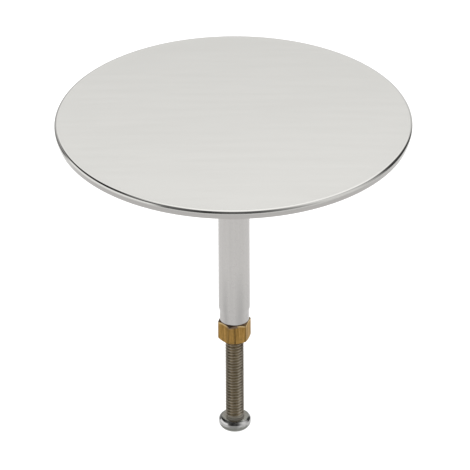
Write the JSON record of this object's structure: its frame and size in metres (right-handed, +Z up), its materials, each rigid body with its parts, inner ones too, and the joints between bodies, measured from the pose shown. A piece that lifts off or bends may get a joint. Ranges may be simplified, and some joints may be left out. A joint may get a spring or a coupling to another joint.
{
  "type": "drain stopper",
  "caption": "Round pop-up drain stopper: crowned steel cap, rubber lip seal beneath, slim stem sleeve, brass lock nut and pan-head height-adjusting screw.",
  "frame": {"origin": "on the stem's axis, in the plane of the seal's sealing face", "axes": "+Z up along the stem towards the cap; the camera of the picture looks along +Y"},
  "size_m": [0.075, 0.075, 0.0752],
  "materials": {
    "cap_steel": "satin",
    "core_steel": "zinc plated",
    "stud_steel": "plain machined",
    "carrier_plastic": "moulded",
    "seal_rubber": "matt",
    "washer_steel": "zinc plated",
    "sleeve_metal": "satin plated",
    "nut_brass": "machined",
    "screw_steel": "nickel plated"
  },
  "bodies": {
    "stopper": {"cap": "cap_steel", "cap_core": "core_steel", "cap_stud": "stud_steel", "seal_carrier": "carrier_plastic", "seal_ring": "seal_rubber", "clamp_washer": "washer_steel", "sleeve": "sleeve_metal"},
    "nut": {"lock_nut": "nut_brass"},
    "screw": {"adjusting_screw": "screw_steel"}
  },
  "joints": [
    {"name": "nut_turn", "type": "hinge", "parent": "stopper", "child": "nut", "pos_m": [0, 0, -0.0444], "axis": [0, 0, 1], "range_deg": [-9360, 2520]},
    {"name": "screw_travel", "type": "slide", "parent": "stopper", "child": "screw", "axis": [0, 0, 1], "range_m": [-0.0049, 0.0182]}
  ],
  "couplings": [
    {"joint": "nut_turn", "follows": "screw_travel", "rad_per_m": -8976}
  ]
}
